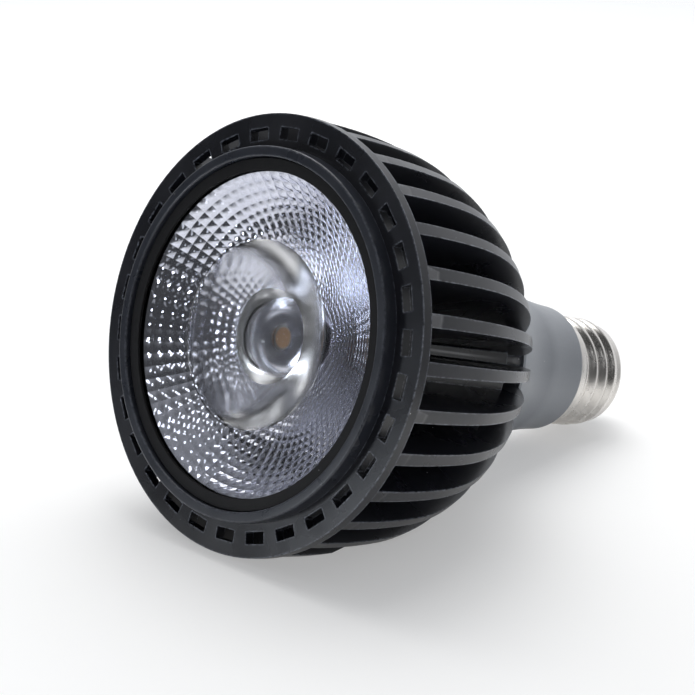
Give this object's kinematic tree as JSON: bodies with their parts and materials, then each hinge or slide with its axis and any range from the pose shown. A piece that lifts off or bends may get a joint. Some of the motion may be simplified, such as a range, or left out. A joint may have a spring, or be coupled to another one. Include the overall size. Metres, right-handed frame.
{
  "type": "reflector grow lamp",
  "caption": "Reflector lamp for growing plants: finned black heat sink with a vented rim, faceted bowl behind a clear lens cover, flared neck and screw base",
  "frame": {"origin": "centre of the bezel's front face, on the lamp's axis", "axes": "+Z along the lamp's axis from the light-emitting front to the centre contact; +X through the middle of a vent window"},
  "size_m": [0.095, 0.095, 0.1226],
  "materials": {
    "black_casting": "black powder coat with a fine grain",
    "black_bezel": "satin black",
    "gasket_rubber": "matt",
    "clear_cover": "clear moulded",
    "mirror_plating": "bright plated facets",
    "thermal_pad": "matt",
    "white_board": "white coated",
    "phosphor": "soft orange",
    "white_plastic": "moulded",
    "plain_steel": "plated",
    "neck_plastic": "satin dark grey",
    "nickel": "plated, lightly worn",
    "black_glass": "glossy",
    "contact_metal": "tinned",
    "sleeve_film": "translucent white",
    "circuit_board": "green solder mask",
    "ferrite": "matt",
    "copper_winding": "enamelled wire",
    "film_case": "satin",
    "can_sleeve": "shrink sleeve",
    "chip_black": "moulded",
    "resistor_body": "lacquered",
    "red_lead": "insulated",
    "black_lead": "insulated",
    "white_lead": "insulated"
  },
  "bodies": {
    "root": {"heat_sink": "black_casting", "front_bezel": "black_bezel", "cover_gasket": "gasket_rubber", "cover_lens": "clear_cover", "reflector": "mirror_plating", "thermal_pad": "thermal_pad", "cob_board": "white_board", "cob_emitter": "phosphor", "cob_holder": "white_plastic", "cob_screw_a": "plain_steel", "cob_screw_b": "plain_steel", "neck_housing": "neck_plastic", "neck_screw_a": "plain_steel", "neck_screw_b": "plain_steel", "neck_screw_c": "plain_steel", "screw_shell": "nickel", "base_insulator": "black_glass", "centre_contact": "contact_metal", "driver_sleeve": "sleeve_film", "driver_board": "circuit_board", "transformer_core": "ferrite", "transformer_winding": "copper_winding", "film_capacitor": "film_case", "input_capacitor": "can_sleeve", "bridge_rectifier": "chip_black", "driver_chip": "chip_black", "fuse_resistor": "resistor_body", "led_lead_red": "red_lead", "led_lead_black": "black_lead", "live_lead": "black_lead", "neutral_lead": "white_lead"}
  },
  "joints": []
}
